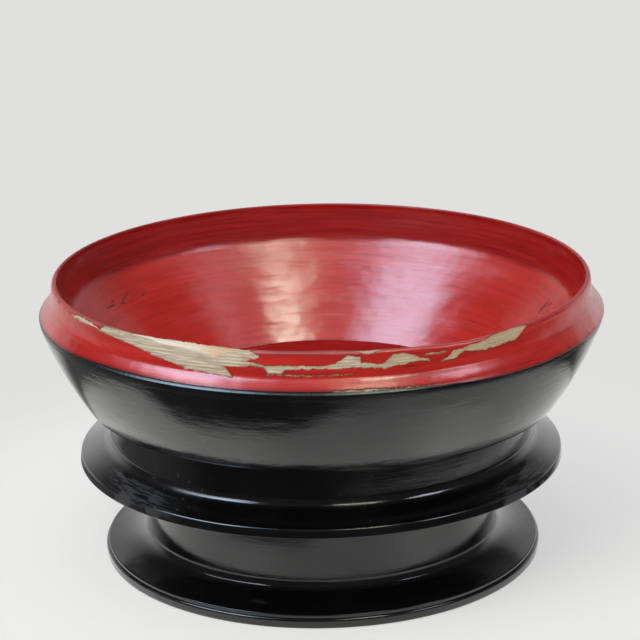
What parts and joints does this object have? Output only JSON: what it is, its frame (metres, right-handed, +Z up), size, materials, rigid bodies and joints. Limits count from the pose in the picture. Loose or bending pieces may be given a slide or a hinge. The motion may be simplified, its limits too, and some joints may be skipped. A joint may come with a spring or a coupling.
{
  "type": "lacquer offering bowl",
  "caption": "Round footed lacquer bowl, red inside and black outside, with a stepped collar for a lid, a sloping flange and a drum foot.",
  "frame": {"origin": "centre of the face that the bowl stands on", "axes": "+Z up along the bowl's axis, -Y towards the side the picture shows"},
  "size_m": [0.4494, 0.4494, 0.23],
  "materials": {
    "red_lacquer": "worn cinnabar-red lacquer over bamboo and wood, satin gloss, chipped on the shoulder",
    "black_lacquer": "glossy black lacquer over bamboo and wood, with fine wear"
  },
  "bodies": {
    "root": {"lip_hoop": "red_lacquer", "collar_hoop": "red_lacquer", "shoulder_hoop": "red_lacquer", "inner_dish": "red_lacquer", "floor_disc": "red_lacquer", "outer_wall": "black_lacquer", "underside_board": "black_lacquer", "neck_ring": "black_lacquer", "flange_ring": "black_lacquer", "foot_drum": "black_lacquer", "foot_flare": "black_lacquer", "foot_hoop": "black_lacquer"}
  },
  "joints": []
}
